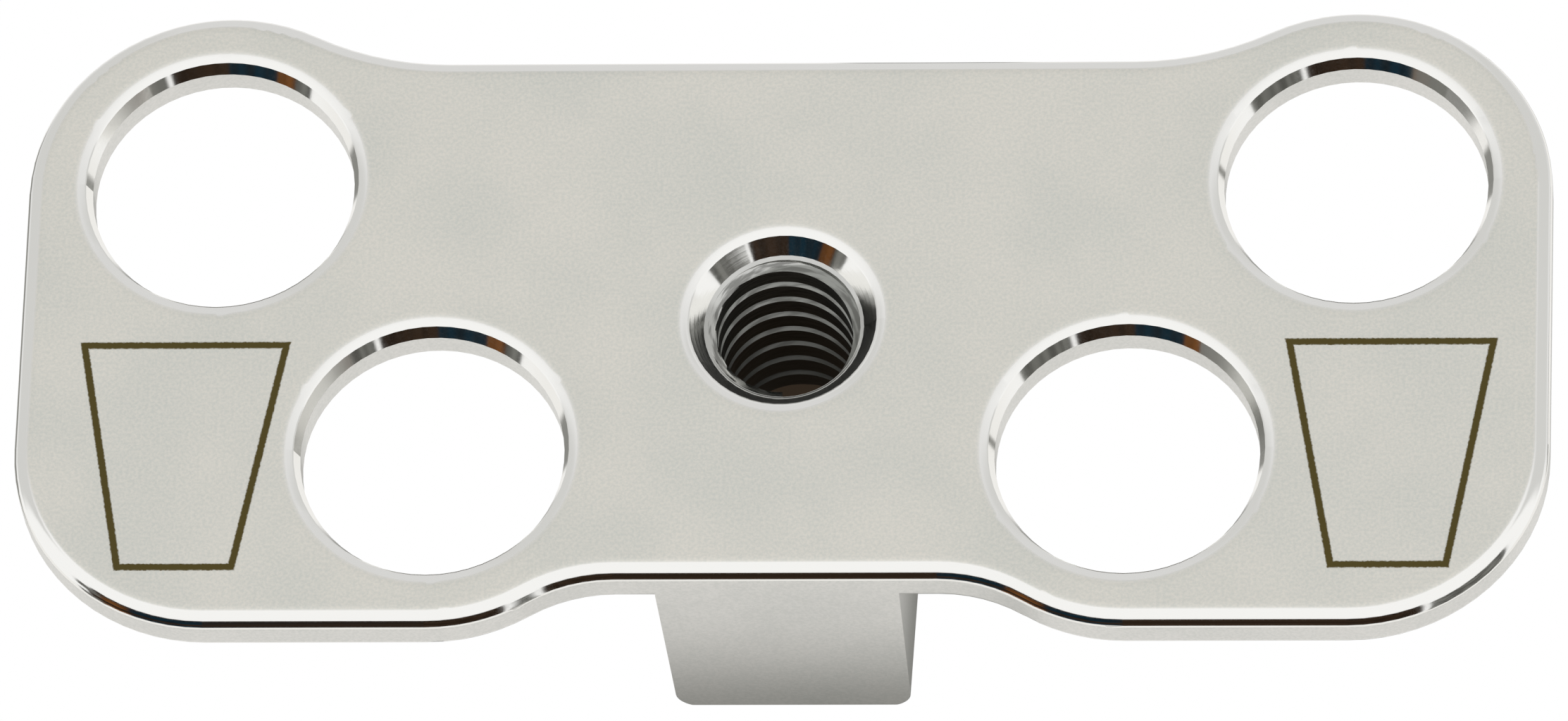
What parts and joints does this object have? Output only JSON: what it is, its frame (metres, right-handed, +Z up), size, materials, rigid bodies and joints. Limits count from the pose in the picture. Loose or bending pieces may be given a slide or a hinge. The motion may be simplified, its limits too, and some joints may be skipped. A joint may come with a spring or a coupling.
{
  "type": "orthopedic bone plate",
  "caption": "Flat waisted bone plate with dished screw holes, and under its waist a tapered spacer tooth with a threaded hole for the holding tool.",
  "frame": {"origin": "middle of the flat end face of the spacer tooth, on which the part stands", "axes": "+Z up, square to the plate, from the tooth's end to the plate's outer face; +X along the plate; -Y towards the end with the closer pair of screw holes"},
  "size_m": [0.04, 0.0178, 0.008],
  "materials": {
    "bone_plate": "fine matt faces with polished edges, rims and holes"
  },
  "bodies": {
    "root": {"bone_plate": "bone_plate"}
  },
  "joints": []
}
